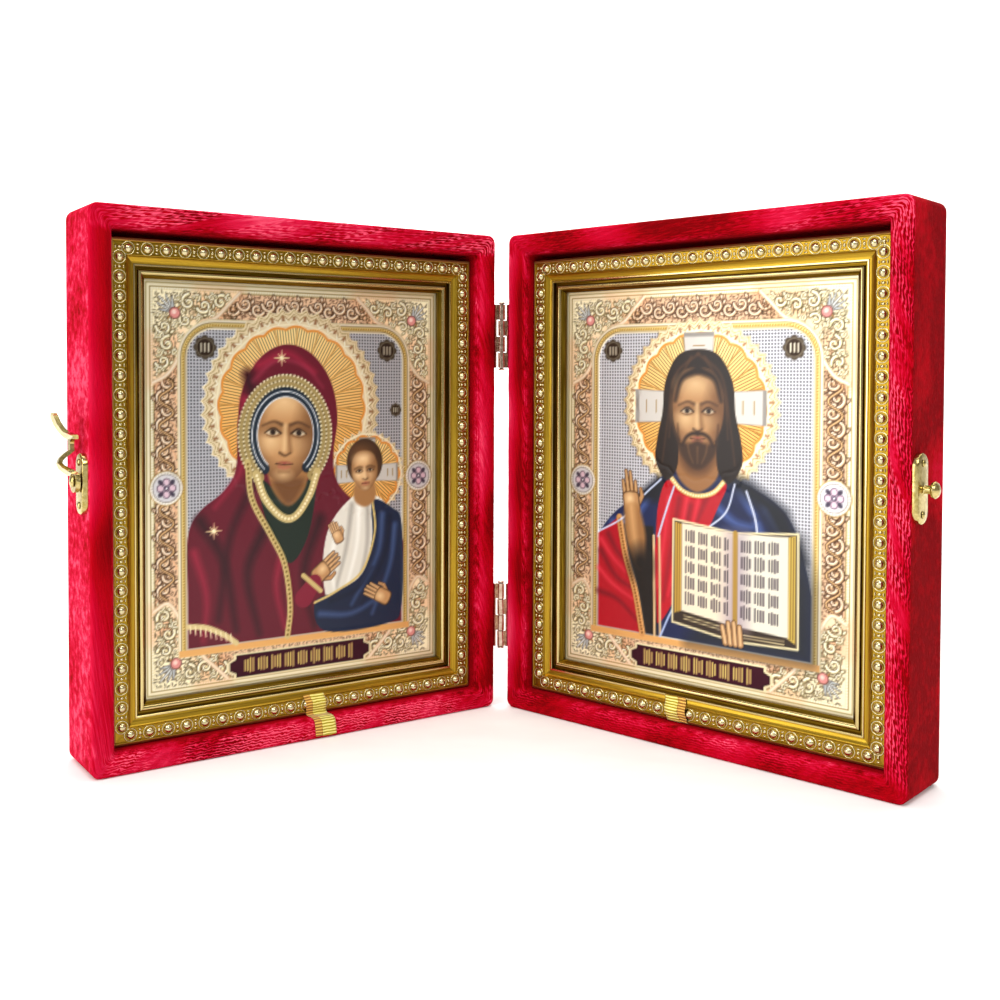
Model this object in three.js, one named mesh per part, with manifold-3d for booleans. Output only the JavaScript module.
// Folding icon: two shallow velvet-covered cases hinged like a book, each with a
// gilded bead-moulding frame and a foil print set back in it.
// Millimetres, +Z up. The origin is the middle of the footprint, on the surface it stands on.

import * as THREE from "three";
import { RoundedBoxGeometry } from "three/addons/geometries/RoundedBoxGeometry.js";
import { mergeGeometries, mergeVertices } from "three/addons/utils/BufferGeometryUtils.js";
import Module from "manifold-3d";

const wasm = await Module();
wasm.setup();

// Case: one half, a tray with its mouth towards the viewer
const CASE_WIDTH = 143.1;
const CASE_HEIGHT = 168;
const CASE_DEPTH = 24.7;
const WALL = 6.7;
const CASE_BACK = 5.0;
const CASE_EDGE_RADIUS = 2.6;
const CASE_EDGE_STEPS = 2;
const RIM_ROUNDING = 1.3;

// How the halves stand and hinge
const OPEN_ANGLE = 103.5;
const SPINE_OFFSET = 2.6;
const HINGE_PROUD = 0.5;

// Fits
const SEAT_GAP = 0.3;
const SMALL_FIT = 0.12;
const SIDE_PLAY = 0.4;

// Frame moulding: w runs inwards from the frame's outer edge, d down from its highest line
const FRAME_SET_BACK = 5.2;
const FRAME_TOP_PLAY = 2.1;
const BEVEL_WIDTH = 0.9;
const BEVEL_DROP = 0.7;
const BAND_WIDTH = 4.3;
const BAND_SINK = 0.5;
const BAND_SLOPE = 0.2;
const COVE_WIDTH = 2.2;
const COVE_DROP = 1.3;
const FILLET_WIDTH = 0.7;
const FILLET_RISE = 0.3;
const STEP_DROP = 1.4;
const STEP_WIDTH = 0.9;
const ROUND_WIDTH = 1.6;
const ROUND_RISE = 0.8;
const LIP_WIDTH = 1.0;
const LIP_DROP = 0.9;
const LIP_THICKNESS = 1.0;
const RABBET = 2.4;
const ARC_STEPS = 4;

// Beads along the moulding
const BEAD_RADIUS = 1.7;
const BEAD_RISE = 1.2;
const BEAD_PITCH = 5.87;
const BEAD_FROM_CORNER = 5.7;
const BEAD_SIDES = 6;
const BEAD_SINK = 0.2;
const BEAD_CURVE = [
  [0, 1],
  [0.7, 0.68],
  [1, 0],
];

// Pull ribbons
const RIBBON_WIDTH = 6.2;
const RIBBON_THICKNESS = 0.4;
const RIBBON_FROM_SPINE = 67.5;
const RIBBON_ON_FRAME = 5.6;
const RIBBON_TAIL_FOOT = 2.7;

// Hinges
const HINGE_HEIGHT = 22.5;
const UPPER_HINGE_FROM_TOP = 24.1;
const LOWER_HINGE_FOOT = 21.6;
const KNUCKLES = 4;
const KNUCKLE_RADIUS = 1.35;
const KNUCKLE_GAP = 0.3;
const BORE_RADIUS = 0.95;
const PIN_RADIUS = 0.65;
const PIN_HEAD_HEIGHT = 0.6;
const LEAF_DEPTH = 11.5;
const LEAF_THICKNESS = 0.6;
const WEB_THICKNESS = 0.75;
const ROUND_SIDES = 12;
const SMALL_SIDES = 8;

// Screws of the hinge leaves and nails of the clasp
const SCREW_HEAD_RADIUS = 1.35;
const SCREW_HEAD_HEIGHT = 0.55;
const SHANK_RADIUS = 0.5;
const SHANK_HOLE_RADIUS = 0.75;
const SHANK_LENGTH = 5;
const HEAD_CURVE = [
  [0, 1],
  [0.45, 0.92],
  [0.85, 0.55],
  [1, 0],
];
const SCREW_FROM_MOUTH = 7.0;
const SCREW_FROM_LEAF_END = 4.6;

// Clasp: the plate, hook and rivet on the left half, the stud plate on the right half
const CLASP_HEIGHT = 87.4;
const PLATE_THICKNESS = 1.9;
const PLATE_BEVEL = 0.35;
const HOOK_PLATE = { width: 7.0, height: 18.0, fromMouth: 5.2, nailFromEnd: 2.7, drop: 0.9 };
const STUD_PLATE = { width: 7.2, height: 19.8, fromMouth: 4.6, nailFromEnd: 2.8, drop: -0.1 };
const NAIL_HEAD_RADIUS = 1.15;
const NAIL_HEAD_HEIGHT = 0.5;
const STUD_FOOT_RADIUS = 2.3;
const STUD_NECK_RADIUS = 1.2;
const STUD_HEAD_RADIUS = 2.45;
const STUD_HEAD_HEIGHT = 2.25;
const STUD_HEAD_CURVE = [
  [0.13, 0.88],
  [0.4, 1],
  [0.71, 0.85],
  [0.93, 0.5],
  [1, 0],
];
const HOOK_LEAN = 8;
const HOOK_THICKNESS = 1.1;
const HOOK_BOSS_RADIUS = 3.3;
const HOOK_LIFT = 2.75;
const HOOK_NOTCH_RADIUS = 1.65;
const HOOK_ARM_WIDTH = 1.9;
const HOOK_ARCH_RISE = 3.6;
const HOOK_ARCH_END = 9.0;
const HOOK_TAB_RISE = 4.9;
const HOOK_LENGTH = 20.6;
const HOOK_TAB_WIDTH = 3.6;
const HOOK_TAB_ROUND = 1.4;
const HOOK_BEAK_SWING = 0.24;
const HOOK_BEAK_ROUND = 0.4;
const HOOK_ARCH_STEPS = 8;
const HOOK_TAB_STEPS = 5;
const RIVET_RADIUS = 0.9;
const RIVET_HEAD_RADIUS = 1.9;
const RIVET_HEAD_HEIGHT = 0.8;

// Sizes that follow from those above
const HALF_ANGLE = THREE.MathUtils.degToRad((180 - OPEN_ANGLE) / 2);
const FORE_EDGE = SPINE_OFFSET + CASE_WIDTH;
const RECESS_DEPTH = CASE_DEPTH - CASE_BACK;
const RECESS_WIDTH = CASE_WIDTH - 2 * WALL;
const RECESS_HEIGHT = CASE_HEIGHT - 2 * WALL;
const FRAME_WIDTH = RECESS_WIDTH - 2 * SIDE_PLAY;
const FRAME_HEIGHT = RECESS_HEIGHT - SEAT_GAP - FRAME_TOP_PLAY;
const FRAME_THICKNESS = RECESS_DEPTH - SEAT_GAP - FRAME_SET_BACK;
const FRAME_LEFT = SPINE_OFFSET + WALL + SIDE_PLAY;
const FRAME_FOOT = WALL + SEAT_GAP;
const FRAME_TOP_Y = HINGE_PROUD + FRAME_SET_BACK;
const KNUCKLE_HEIGHT = (HINGE_HEIGHT - (KNUCKLES - 1) * KNUCKLE_GAP) / KNUCKLES;
const UPPER_HINGE_FOOT = CASE_HEIGHT - UPPER_HINGE_FROM_TOP - HINGE_HEIGHT;
const LEAF_OUT = SPINE_OFFSET - SEAT_GAP;
const STUD_DISTANCE = HOOK_PLATE.fromMouth + STUD_PLATE.fromMouth + 2 * HINGE_PROUD;

const velvet = new THREE.MeshStandardMaterial({ color: 0xb8061c, roughness: 0.95, metalness: 0 });
const gilding = new THREE.MeshStandardMaterial({ color: 0xb4923a, roughness: 0.38, metalness: 0.85 });
const brass = new THREE.MeshStandardMaterial({ color: 0xd8c274, roughness: 0.22, metalness: 1 });
const foil = new THREE.MeshStandardMaterial({ color: 0xc9b48c, roughness: 0.35, metalness: 0.5 });
const ribbonGold = new THREE.MeshStandardMaterial({ color: 0xe0c33a, roughness: 0.5, metalness: 0.5 });

// Solids: joining and cutting closed meshes
function toSolid(geometry) {
  const bare = geometry.index ? geometry.toNonIndexed() : geometry.clone();
  bare.deleteAttribute("normal");
  bare.deleteAttribute("uv");
  const merged = mergeVertices(bare, 1e-4);
  return new wasm.Manifold(
    new wasm.Mesh({
      numProp: 3,
      vertProperties: new Float32Array(merged.attributes.position.array),
      triVerts: new Uint32Array(merged.index.array),
    }),
  );
}

function toGeometry(solid) {
  const mesh = solid.getMesh();
  const geometry = new THREE.BufferGeometry();
  geometry.setAttribute("position", new THREE.BufferAttribute(mesh.vertProperties, 3));
  geometry.setIndex(new THREE.BufferAttribute(mesh.triVerts, 1));
  return geometry;
}

function join(geometries) {
  const solids = geometries.map(toSolid);
  return toGeometry(solids.reduce((whole, next) => whole.add(next)));
}

function cut(geometry, cutters) {
  return toGeometry(cutters.map(toSolid).reduce((whole, next) => whole.subtract(next), toSolid(geometry)));
}

function intersect(first, second) {
  return toGeometry(toSolid(first).intersect(toSolid(second)));
}

// The left half is the right half seen in a mirror, with its triangles turned round again
function mirrored(geometry) {
  const copy = (geometry.index ? geometry.toNonIndexed() : geometry.clone()).scale(-1, 1, 1);
  const corners = copy.attributes.position.array;
  for (let start = 0; start < corners.length; start += 9) {
    for (let axis = 0; axis < 3; axis += 1) {
      const kept = corners[start + 3 + axis];
      corners[start + 3 + axis] = corners[start + 6 + axis];
      corners[start + 6 + axis] = kept;
    }
  }
  return copy;
}

// Rings of four corners joined into a skin. The profile gives an inset and a depth for each ring,
// from the back of the outside to the front
function rectangleRings(profile, width, height, closed) {
  const points = [];
  const faces = [];
  for (const [inset, depth] of profile) {
    points.push([inset, depth, inset], [width - inset, depth, inset]);
    points.push([width - inset, depth, height - inset], [inset, depth, height - inset]);
  }
  const rings = profile.length;
  const last = closed ? rings : rings - 1;
  for (let ring = 0; ring < last; ring += 1) {
    for (let side = 0; side < 4; side += 1) {
      const a = ring * 4 + side;
      const b = ring * 4 + ((side + 1) % 4);
      const c = ((ring + 1) % rings) * 4 + ((side + 1) % 4);
      const d = ((ring + 1) % rings) * 4 + side;
      faces.push([a, b, c], [a, c, d]);
    }
  }
  if (!closed) {
    const end = (rings - 1) * 4;
    faces.push([0, 2, 1], [0, 3, 2], [end, end + 1, end + 2], [end, end + 2, end + 3]);
  }
  const corners = faces.flatMap((face) => face.flatMap((index) => points[index]));
  const geometry = new THREE.BufferGeometry();
  geometry.setAttribute("position", new THREE.Float32BufferAttribute(corners, 3));
  return geometry;
}

// An upright rod, or one along the x axis, from one end to the other
function uprightRod(radius, from, to, sides = ROUND_SIDES) {
  return new THREE.CylinderGeometry(radius, radius, to - from, sides)
    .rotateX(Math.PI / 2)
    .translate(0, 0, (from + to) / 2);
}

function crossRod(radius, from, to, sides = ROUND_SIDES) {
  return new THREE.CylinderGeometry(radius, radius, to - from, sides)
    .rotateZ(Math.PI / 2)
    .translate((from + to) / 2, 0, 0);
}

function block(x0, x1, y0, y1, z0, z1) {
  return new THREE.BoxGeometry(x1 - x0, y1 - y0, z1 - z0).translate((x0 + x1) / 2, (y0 + y1) / 2, (z0 + z1) / 2);
}

// A turned shape with its axis along x; the profile gives a distance along x and a radius
function turned(profile, sides = ROUND_SIDES) {
  const points = profile.map(([along, radius]) => new THREE.Vector2(radius, along));
  return new THREE.LatheGeometry(points, sides).rotateZ(-Math.PI / 2);
}

// A domed end for a turned profile, from shares of its height and radius
function dome(curve, foot, radius, height) {
  return curve.map(([rise, reach]) => [foot + rise * height, reach * radius]);
}

// Headed fastener with its head's underside at x = 0 and its shank going towards -x
function fastener(headRadius, headHeight) {
  const shank = [
    [-SHANK_LENGTH, 0],
    [-SHANK_LENGTH, SHANK_RADIUS],
    [0, SHANK_RADIUS],
  ];
  return turned([...shank, ...dome(HEAD_CURVE, 0, headRadius, headHeight)], SMALL_SIDES);
}

// Turns a drawing made in x and y, and thickened along z, onto a face: x becomes depth, y height, z width
function ontoFace(geometry) {
  const basis = new THREE.Matrix4().makeBasis(
    new THREE.Vector3(0, 1, 0),
    new THREE.Vector3(0, 0, 1),
    new THREE.Vector3(1, 0, 0),
  );
  return geometry.applyMatrix4(basis);
}

function pieceOf(name, geometry, material) {
  const mesh = new THREE.Mesh(geometry, material);
  mesh.name = name;
  return mesh;
}

// Every half is drawn with the hinge axis on the z axis, its width along x and its depth along y
function caseSolid(holes) {
  const outside = new RoundedBoxGeometry(
    CASE_WIDTH,
    CASE_DEPTH,
    CASE_HEIGHT,
    CASE_EDGE_STEPS,
    CASE_EDGE_RADIUS,
  ).translate(SPINE_OFFSET + CASE_WIDTH / 2, HINGE_PROUD + CASE_DEPTH / 2, CASE_HEIGHT / 2);
  const flare = [];
  for (let step = 0; step <= ARC_STEPS; step += 1) {
    const turn = (step / ARC_STEPS) * (Math.PI / 2);
    flare.push([-RIM_ROUNDING * (1 - Math.sin(turn)), RIM_ROUNDING * (1 - Math.cos(turn))]);
  }
  const profile = [[-RIM_ROUNDING, -1], ...flare, [0, RECESS_DEPTH]];
  const recess = rectangleRings(profile.reverse(), RECESS_WIDTH, RECESS_HEIGHT, false).translate(
    SPINE_OFFSET + WALL,
    HINGE_PROUD,
    WALL,
  );
  return cut(outside, [recess, ...holes]);
}

function mouldingProfile() {
  const profile = [
    [0, FRAME_THICKNESS],
    [0, BEVEL_DROP],
    [BEVEL_WIDTH, 0],
    [BEVEL_WIDTH + BAND_SLOPE, BAND_SINK],
  ];
  const coveStart = BEVEL_WIDTH + BAND_WIDTH;
  profile.push([coveStart - BAND_SLOPE, BAND_SINK], [coveStart, BAND_SINK / 2]);
  for (let step = 1; step <= ARC_STEPS; step += 1) {
    const turn = (step / ARC_STEPS) * (Math.PI / 2);
    profile.push([coveStart + COVE_WIDTH * (1 - Math.cos(turn)), BAND_SINK / 2 + COVE_DROP * Math.sin(turn)]);
  }
  const filletStart = coveStart + COVE_WIDTH;
  const filletTop = BAND_SINK / 2 + COVE_DROP - FILLET_RISE;
  profile.push([filletStart, filletTop], [filletStart + FILLET_WIDTH, filletTop]);
  const stepStart = filletStart + FILLET_WIDTH;
  const stepFloor = filletTop + STEP_DROP;
  profile.push([stepStart, stepFloor]);
  const roundStart = stepStart + STEP_WIDTH;
  for (let step = 0; step <= ARC_STEPS; step += 1) {
    const turn = (step / ARC_STEPS) * Math.PI;
    profile.push([
      roundStart + (ROUND_WIDTH / 2) * (1 - Math.cos(turn)),
      stepFloor - ROUND_RISE * Math.sin(turn),
    ]);
  }
  const sight = roundStart + ROUND_WIDTH + LIP_WIDTH;
  const lipFloor = stepFloor + LIP_DROP;
  profile.push([sight, lipFloor], [sight, lipFloor + LIP_THICKNESS]);
  profile.push([sight - RABBET, lipFloor + LIP_THICKNESS], [sight - RABBET, FRAME_THICKNESS]);
  return { profile, sight, printDepth: lipFloor + LIP_THICKNESS };
}

const MOULDING = mouldingProfile();

// A low dome with its base on y = 0 and its top towards -y
function bead() {
  const foot = [
    [-BEAD_SINK, 0],
    [-BEAD_SINK, BEAD_RADIUS],
  ];
  return turned([...foot, ...dome(BEAD_CURVE, 0, BEAD_RADIUS, BEAD_RISE)], BEAD_SIDES).rotateZ(-Math.PI / 2);
}

function beadPlaces(length) {
  const run = length - 2 * BEAD_FROM_CORNER;
  const spaces = Math.max(1, Math.round(run / BEAD_PITCH));
  return Array.from({ length: spaces + 1 }, (_, index) => BEAD_FROM_CORNER + (run * index) / spaces);
}

function frameSolid() {
  const rails = rectangleRings(MOULDING.profile, FRAME_WIDTH, FRAME_HEIGHT, true);
  const bandMiddle = BEVEL_WIDTH + BAND_WIDTH / 2;
  const beads = [];
  for (const x of beadPlaces(FRAME_WIDTH)) {
    for (const z of [bandMiddle, FRAME_HEIGHT - bandMiddle]) {
      beads.push(bead().translate(x, BAND_SINK, z));
    }
  }
  for (const z of beadPlaces(FRAME_HEIGHT)) {
    for (const x of [bandMiddle, FRAME_WIDTH - bandMiddle]) {
      beads.push(bead().translate(x, BAND_SINK, z));
    }
  }
  const carved = join([rails, mergeGeometries(beads.map((one) => one.toNonIndexed()))]);
  return carved.translate(FRAME_LEFT, FRAME_TOP_Y, FRAME_FOOT);
}

function printSolid() {
  const inset = MOULDING.sight - RABBET + SEAT_GAP;
  return block(
    FRAME_LEFT + inset,
    FRAME_LEFT + FRAME_WIDTH - inset,
    FRAME_TOP_Y + MOULDING.printDepth + SEAT_GAP,
    FRAME_TOP_Y + FRAME_THICKNESS,
    FRAME_FOOT + inset,
    FRAME_FOOT + FRAME_HEIGHT - inset,
  );
}

// A strip of ribbon: a path in depth and height, thickened and given the ribbon's width
function ribbonStrip(path, middle) {
  const outline = [];
  const otherSide = [];
  path.forEach(([depth, height], index) => {
    const before = path[Math.max(0, index - 1)];
    const after = path[Math.min(path.length - 1, index + 1)];
    const along = new THREE.Vector2(after[0] - before[0], after[1] - before[1]).normalize();
    const half = RIBBON_THICKNESS / 2;
    outline.push(new THREE.Vector2(depth - along.y * half, height + along.x * half));
    otherSide.unshift(new THREE.Vector2(depth + along.y * half, height - along.x * half));
  });
  const shape = new THREE.Shape([...outline, ...otherSide]);
  const strip = new THREE.ExtrudeGeometry(shape, { depth: RIBBON_WIDTH, bevelEnabled: false, steps: 1 });
  return ontoFace(strip).translate(SPINE_OFFSET + middle - RIBBON_WIDTH / 2, HINGE_PROUD, 0);
}

function ribbonSolid(overTheRim) {
  const half = RIBBON_THICKNESS / 2;
  const beadTop = FRAME_SET_BACK + BAND_SINK - BEAD_RISE - SEAT_GAP - half;
  const foot = FRAME_FOOT + BEVEL_WIDTH / 2;
  const onFrame = [
    [beadTop, foot + RIBBON_ON_FRAME],
    [beadTop, foot + SEAT_GAP],
  ];
  if (!overTheRim) {
    return ribbonStrip([...onFrame, [beadTop, foot - SEAT_GAP]], RIBBON_FROM_SPINE);
  }
  const above = WALL + SEAT_GAP + half;
  const front = -SEAT_GAP - half;
  const over = [
    [(beadTop + RIM_ROUNDING) / 2, above + half],
    [RIM_ROUNDING, above],
    [RIM_ROUNDING / 4, above - half],
    [front / 2, WALL - RIM_ROUNDING / 3],
    [front, WALL - RIM_ROUNDING],
    [front, RIBBON_TAIL_FOOT],
  ];
  return ribbonStrip([...onFrame, ...over], RIBBON_FROM_SPINE);
}

// Hinges: each leaf carries every second knuckle, and the pin holds them together
function screwHeights(foot) {
  return [foot + SCREW_FROM_LEAF_END, foot + HINGE_HEIGHT - SCREW_FROM_LEAF_END];
}

function leafSolid(foot, firstKnuckle) {
  const leafIn = LEAF_OUT - LEAF_THICKNESS;
  const webBack = KNUCKLE_RADIUS;
  const webFront = webBack - WEB_THICKNESS;
  const plate = block(leafIn, LEAF_OUT, webFront, webFront + LEAF_DEPTH, foot, foot + HINGE_HEIGHT);
  const parts = [plate];
  const bores = [];
  for (let index = firstKnuckle; index < KNUCKLES; index += 2) {
    const top = foot + HINGE_HEIGHT - index * (KNUCKLE_HEIGHT + KNUCKLE_GAP);
    parts.push(uprightRod(KNUCKLE_RADIUS, top - KNUCKLE_HEIGHT, top));
    parts.push(block(BORE_RADIUS * 0.5, LEAF_OUT, webFront, webBack, top - KNUCKLE_HEIGHT, top));
    bores.push(uprightRod(BORE_RADIUS, top - KNUCKLE_HEIGHT - 1, top + KNUCKLE_GAP / 2));
  }
  for (const height of screwHeights(foot)) {
    const hole = crossRod(SHANK_HOLE_RADIUS, leafIn - 1, LEAF_OUT + 1, SMALL_SIDES);
    bores.push(hole.translate(0, HINGE_PROUD + SCREW_FROM_MOUTH, height));
  }
  return cut(join(parts), bores);
}

function pinSolid(foot) {
  const low = foot - KNUCKLE_GAP;
  const high = foot + HINGE_HEIGHT + KNUCKLE_GAP;
  const profile = [
    [0, low - PIN_HEAD_HEIGHT],
    [KNUCKLE_RADIUS * 0.7, low - PIN_HEAD_HEIGHT],
    [KNUCKLE_RADIUS, low - PIN_HEAD_HEIGHT * 0.4],
    [KNUCKLE_RADIUS, low],
    [PIN_RADIUS, low],
    [PIN_RADIUS, high],
    [KNUCKLE_RADIUS, high],
    [KNUCKLE_RADIUS, high + PIN_HEAD_HEIGHT * 0.4],
    [KNUCKLE_RADIUS * 0.7, high + PIN_HEAD_HEIGHT],
    [0, high + PIN_HEAD_HEIGHT],
  ];
  const points = profile.map(([radius, height]) => new THREE.Vector2(radius, height));
  return new THREE.LatheGeometry(points, ROUND_SIDES).rotateX(Math.PI / 2);
}

function screwSolid(height) {
  return fastener(SCREW_HEAD_RADIUS, SCREW_HEAD_HEIGHT)
    .rotateZ(Math.PI)
    .translate(LEAF_OUT - LEAF_THICKNESS - SMALL_FIT, HINGE_PROUD + SCREW_FROM_MOUTH, height);
}

// Clasp: drawn on the fore-edge face, with its foot at x = 0 and depth along y
function onForeEdge(geometry, fromMouth) {
  return geometry.translate(FORE_EDGE, HINGE_PROUD + fromMouth, CLASP_HEIGHT);
}

function nailHeights(plate) {
  const reach = plate.height / 2 - plate.nailFromEnd;
  return [-plate.drop - reach, -plate.drop + reach];
}

function roundEndedPlate(plate) {
  const radius = plate.width / 2;
  const reach = plate.height / 2 - radius;
  const shape = new THREE.Shape();
  shape.absarc(0, reach, radius, 0, Math.PI, false);
  shape.absarc(0, -reach, radius, Math.PI, 2 * Math.PI, false);
  const slab = new THREE.ExtrudeGeometry(shape, {
    depth: PLATE_THICKNESS - PLATE_BEVEL,
    bevelEnabled: true,
    bevelThickness: PLATE_BEVEL,
    bevelSize: PLATE_BEVEL,
    bevelOffset: -PLATE_BEVEL,
    bevelSegments: 1,
    curveSegments: SMALL_SIDES,
  });
  ontoFace(slab).translate(SEAT_GAP, 0, -plate.drop);
  const behind = block(-PLATE_THICKNESS, SEAT_GAP, -plate.width, plate.width, -plate.height, plate.height);
  return cut(slab, [behind]);
}

function hookPlateSolid() {
  const holes = nailHeights(HOOK_PLATE).map((height) =>
    crossRod(SHANK_HOLE_RADIUS, -1, PLATE_THICKNESS + 1, SMALL_SIDES).translate(0, 0, height),
  );
  holes.push(crossRod(RIVET_RADIUS + SEAT_GAP, -1, PLATE_THICKNESS + 1));
  return onForeEdge(cut(roundEndedPlate(HOOK_PLATE), holes), HOOK_PLATE.fromMouth);
}

function studPlateSolid() {
  const face = SEAT_GAP + PLATE_THICKNESS;
  const neckTop = HOOK_LIFT + HOOK_THICKNESS + 2 * SEAT_GAP;
  const stud = turned([
    [face - PLATE_THICKNESS / 2, 0],
    [face - PLATE_THICKNESS / 2, STUD_FOOT_RADIUS],
    [face, STUD_FOOT_RADIUS],
    [HOOK_LIFT - SEAT_GAP / 2, STUD_NECK_RADIUS],
    [neckTop, STUD_NECK_RADIUS],
    ...dome(STUD_HEAD_CURVE, neckTop, STUD_HEAD_RADIUS, STUD_HEAD_HEIGHT),
  ]);
  const holes = nailHeights(STUD_PLATE).map((height) =>
    crossRod(SHANK_HOLE_RADIUS, -1, PLATE_THICKNESS + 1, SMALL_SIDES).translate(0, 0, height),
  );
  return onForeEdge(cut(join([roundEndedPlate(STUD_PLATE), stud]), holes), STUD_PLATE.fromMouth);
}

function nailSolid(plate, height) {
  const nail = fastener(NAIL_HEAD_RADIUS, NAIL_HEAD_HEIGHT);
  nail.translate(SEAT_GAP + PLATE_THICKNESS + SMALL_FIT, 0, height);
  return onForeEdge(nail, plate.fromMouth);
}

function rivetSolid() {
  const headFoot = HOOK_LIFT + HOOK_THICKNESS + SEAT_GAP;
  const rivet = turned([
    [SEAT_GAP, 0],
    [SEAT_GAP, RIVET_RADIUS],
    [headFoot, RIVET_RADIUS],
    ...dome(HEAD_CURVE, headFoot, RIVET_HEAD_RADIUS, RIVET_HEAD_HEIGHT),
  ]);
  return onForeEdge(rivet, HOOK_PLATE.fromMouth);
}

// The hook's outline on the face: y is along the hook, and its notch opens towards -x
function hookOutline() {
  const inner = HOOK_NOTCH_RADIUS;
  const outer = inner + HOOK_ARM_WIDTH;
  const beakInner = STUD_DISTANCE + inner;
  const beakOuter = beakInner + HOOK_ARM_WIDTH - HOOK_BEAK_ROUND;
  const beakPoint = (radius, swing) => shape.lineTo(-Math.sin(swing) * radius, Math.cos(swing) * radius);
  const tabMiddle = (inner + HOOK_ARM_WIDTH / 2) * 0.8;
  const tabCorner = HOOK_LENGTH - HOOK_TAB_ROUND;
  const shape = new THREE.Shape();
  shape.absarc(0, 0, HOOK_BOSS_RADIUS, Math.PI * 0.72, Math.PI * 2.1, false);
  shape.lineTo(outer, STUD_DISTANCE / 2);
  shape.lineTo(outer, STUD_DISTANCE + inner);
  shape.lineTo(tabMiddle + HOOK_TAB_WIDTH / 2, tabCorner);
  shape.quadraticCurveTo(tabMiddle, HOOK_LENGTH + HOOK_TAB_ROUND / 2, tabMiddle - HOOK_TAB_WIDTH / 2, tabCorner);
  shape.lineTo(0, beakOuter + HOOK_BEAK_ROUND);
  beakPoint(beakOuter, HOOK_BEAK_SWING / 2);
  beakPoint(beakOuter - HOOK_BEAK_ROUND, HOOK_BEAK_SWING);
  beakPoint(beakInner, HOOK_BEAK_SWING);
  beakPoint(beakInner, HOOK_BEAK_SWING / 2);
  shape.absarc(0, STUD_DISTANCE, inner, Math.PI / 2, 0, true);
  shape.lineTo(inner, STUD_DISTANCE / 2);
  shape.lineTo(-HOOK_BOSS_RADIUS * 0.6, HOOK_BOSS_RADIUS * 0.95);
  return shape;
}

// The hook seen from the side: flat on its boss, arched, back to the stud's neck, then a lifted tab
function hookSide() {
  const centre = [];
  centre.push([HOOK_LIFT, -HOOK_BOSS_RADIUS - 1]);
  centre.push([HOOK_LIFT, HOOK_BOSS_RADIUS * 0.6]);
  const archStart = HOOK_BOSS_RADIUS * 0.6;
  for (let step = 1; step < HOOK_ARCH_STEPS; step += 1) {
    const share = step / HOOK_ARCH_STEPS;
    const rise = HOOK_ARCH_RISE * Math.sin(Math.PI * share) ** 1.2;
    centre.push([HOOK_LIFT + rise, archStart + (HOOK_ARCH_END - archStart) * share]);
  }
  centre.push([HOOK_LIFT, HOOK_ARCH_END]);
  const tabStart = STUD_DISTANCE + HOOK_NOTCH_RADIUS + HOOK_BEAK_ROUND;
  centre.push([HOOK_LIFT, tabStart]);
  for (let step = 1; step <= HOOK_TAB_STEPS; step += 1) {
    const share = step / HOOK_TAB_STEPS;
    const rise = HOOK_TAB_RISE * Math.sin((Math.PI / 2) * share);
    centre.push([HOOK_LIFT + rise, tabStart + (HOOK_LENGTH + 1 - tabStart) * share ** 1.25]);
  }
  const back = [];
  const front = [];
  centre.forEach(([out, along], index) => {
    const before = centre[Math.max(0, index - 1)];
    const after = centre[Math.min(centre.length - 1, index + 1)];
    const run = new THREE.Vector2(after[0] - before[0], after[1] - before[1]).normalize();
    back.push(new THREE.Vector2(out, along));
    front.unshift(new THREE.Vector2(out + run.y * HOOK_THICKNESS, along - run.x * HOOK_THICKNESS));
  });
  return new THREE.Shape([...back, ...front]);
}

function hookSolid() {
  const reach = HOOK_LENGTH;
  const plan = new THREE.ExtrudeGeometry(hookOutline(), { depth: reach, bevelEnabled: false, curveSegments: 6 });
  ontoFace(plan);
  const side = new THREE.ExtrudeGeometry(hookSide(), { depth: 2 * reach, bevelEnabled: false });
  side.applyMatrix4(
    new THREE.Matrix4().makeBasis(
      new THREE.Vector3(1, 0, 0),
      new THREE.Vector3(0, 0, 1),
      new THREE.Vector3(0, -1, 0),
    ),
  );
  side.translate(0, reach, 0);
  const blank = intersect(plan, side);
  const hook = cut(blank, [crossRod(RIVET_RADIUS + SEAT_GAP, 0, HOOK_LIFT + 2 * HOOK_THICKNESS)]);
  hook.rotateX(-THREE.MathUtils.degToRad(HOOK_LEAN));
  return onForeEdge(hook, HOOK_PLATE.fromMouth);
}

// Holes for the shanks of the screws and nails in a case
function caseHoles(plate) {
  const holes = [];
  for (const foot of [UPPER_HINGE_FOOT, LOWER_HINGE_FOOT]) {
    for (const height of screwHeights(foot)) {
      const hole = crossRod(SHANK_HOLE_RADIUS, SPINE_OFFSET - 1, SPINE_OFFSET + SHANK_LENGTH, SMALL_SIDES);
      holes.push(hole.translate(0, HINGE_PROUD + SCREW_FROM_MOUTH, height));
    }
  }
  for (const height of nailHeights(plate)) {
    const hole = crossRod(SHANK_HOLE_RADIUS, -SHANK_LENGTH, 1, SMALL_SIDES).translate(0, 0, height);
    holes.push(onForeEdge(hole, plate.fromMouth));
  }
  return holes;
}

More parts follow.
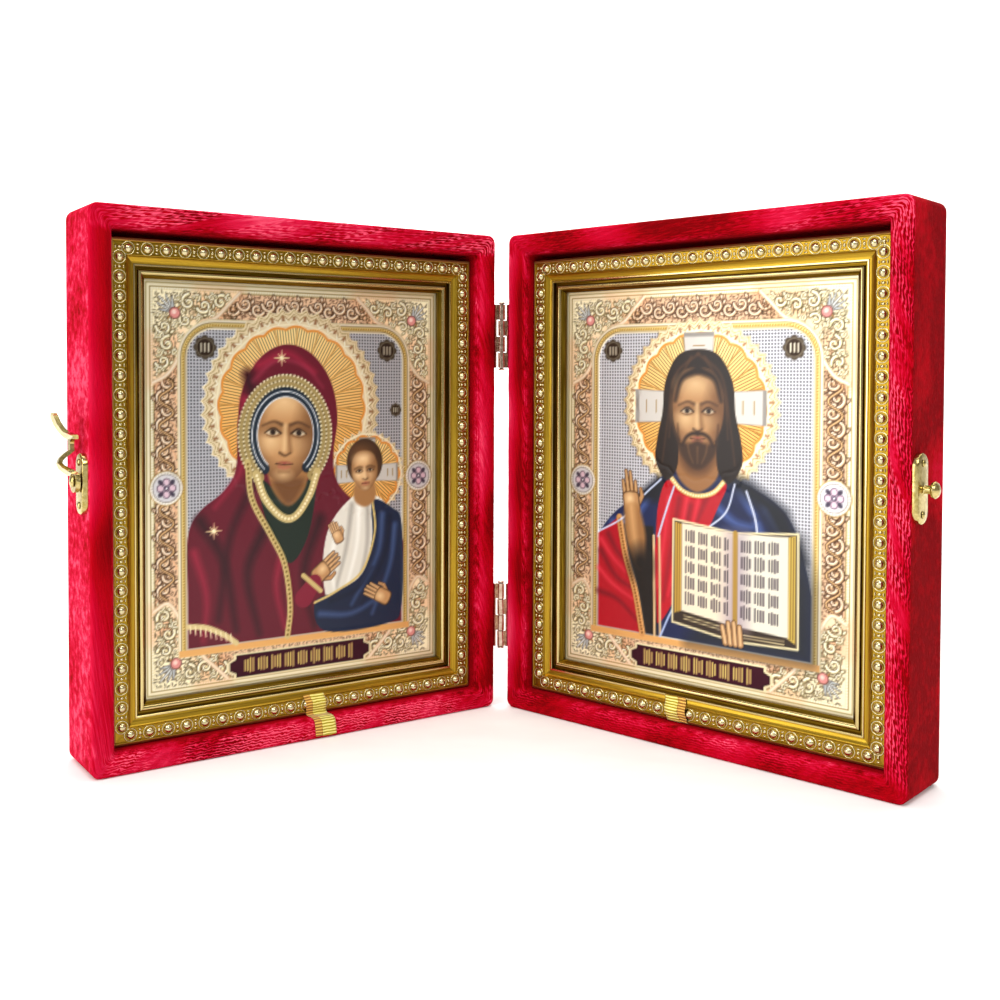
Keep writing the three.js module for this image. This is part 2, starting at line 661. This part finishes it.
function halfPieces(side, plate, firstKnuckle) {
  const pieces = [
    [`${side}_case`, caseSolid(caseHoles(plate)), velvet],
    [`${side}_frame`, frameSolid(), gilding],
    [`${side}_print`, printSolid(), foil],
    [`${side}_pull_ribbon`, ribbonSolid(side === "left"), ribbonGold],
  ];
  const hinges = [
    ["upper", UPPER_HINGE_FOOT],
    ["lower", LOWER_HINGE_FOOT],
  ];
  for (const [level, foot] of hinges) {
    pieces.push([`${level}_hinge_${side}_leaf`, leafSolid(foot, firstKnuckle), brass]);
    screwHeights(foot).forEach((height, index) => {
      const name = `${level}_hinge_${side}_screw_${index + 1}`;
      pieces.push([name, screwSolid(height), brass]);
    });
  }
  return pieces;
}

function rightHalf() {
  const pieces = halfPieces("right", STUD_PLATE, 1);
  pieces.push(["upper_hinge_pin", pinSolid(UPPER_HINGE_FOOT), brass]);
  pieces.push(["lower_hinge_pin", pinSolid(LOWER_HINGE_FOOT), brass]);
  pieces.push(["clasp_stud_plate", studPlateSolid(), brass]);
  nailHeights(STUD_PLATE).forEach((height, index) => {
    pieces.push([`stud_plate_nail_${index + 1}`, nailSolid(STUD_PLATE, height), brass]);
  });
  const half = new THREE.Group();
  pieces.forEach(([name, geometry, material]) => half.add(pieceOf(name, geometry, material)));
  half.rotation.z = -HALF_ANGLE;
  return half;
}

function leftHalf() {
  const pieces = halfPieces("left", HOOK_PLATE, 0);
  pieces.push(["clasp_hook_plate", hookPlateSolid(), brass]);
  pieces.push(["clasp_hook", hookSolid(), brass]);
  pieces.push(["clasp_rivet", rivetSolid(), brass]);
  nailHeights(HOOK_PLATE).forEach((height, index) => {
    pieces.push([`hook_plate_nail_${index + 1}`, nailSolid(HOOK_PLATE, height), brass]);
  });
  const half = new THREE.Group();
  pieces.forEach(([name, geometry, material]) => half.add(pieceOf(name, mirrored(geometry), material)));
  half.rotation.z = HALF_ANGLE;
  return half;
}

const icon = new THREE.Group();
icon.add(rightHalf(), leftHalf());
const middle = new THREE.Box3().setFromObject(icon, true).getCenter(new THREE.Vector3());
icon.position.set(-middle.x, -middle.y, 0);

const model = new THREE.Group();
model.add(icon);

export default model;
